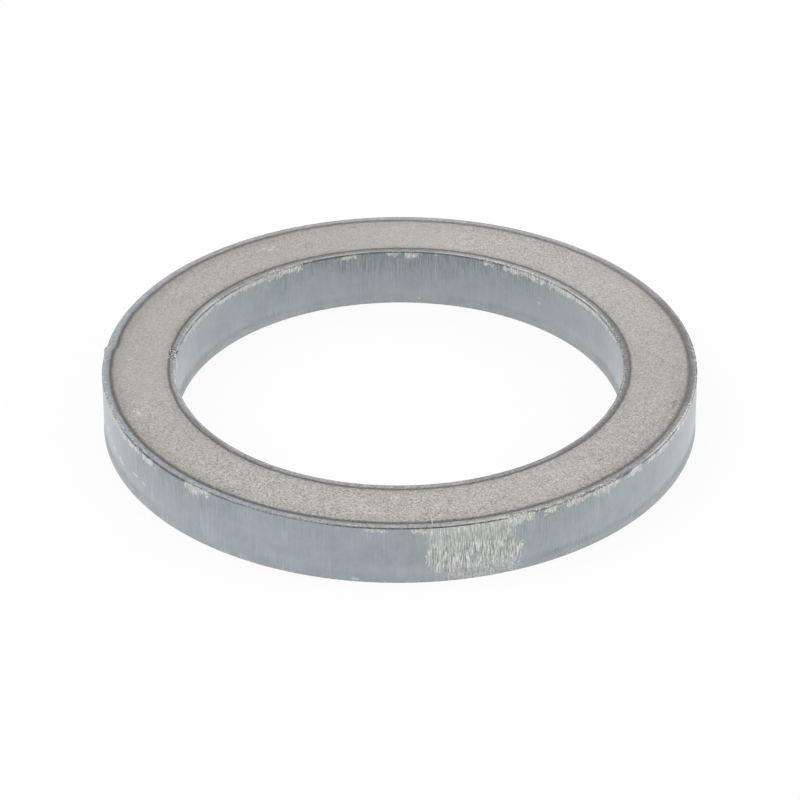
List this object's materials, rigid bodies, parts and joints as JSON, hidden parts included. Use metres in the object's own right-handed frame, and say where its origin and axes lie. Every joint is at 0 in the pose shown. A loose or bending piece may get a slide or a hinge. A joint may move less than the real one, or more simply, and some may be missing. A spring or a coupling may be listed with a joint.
{
  "type": "locking plate",
  "caption": "Thick flat ring with a plain bore, beam-cut from steel plate, that goes over a shaft or hub and locks it against moving along its axis.",
  "frame": {"origin": "on the axis of the bore, at the lower face", "axes": "+Z along the bore axis from the lower face to the upper face, +X to the right and +Y away from the viewer in the picture"},
  "size_m": [0.0955, 0.0954, 0.01],
  "materials": {
    "cut_steel": "dull rolled faces, with a satin oxide skin on the cut walls that has flaked off in places"
  },
  "bodies": {
    "root": {"locking_plate": "cut_steel"}
  },
  "joints": []
}
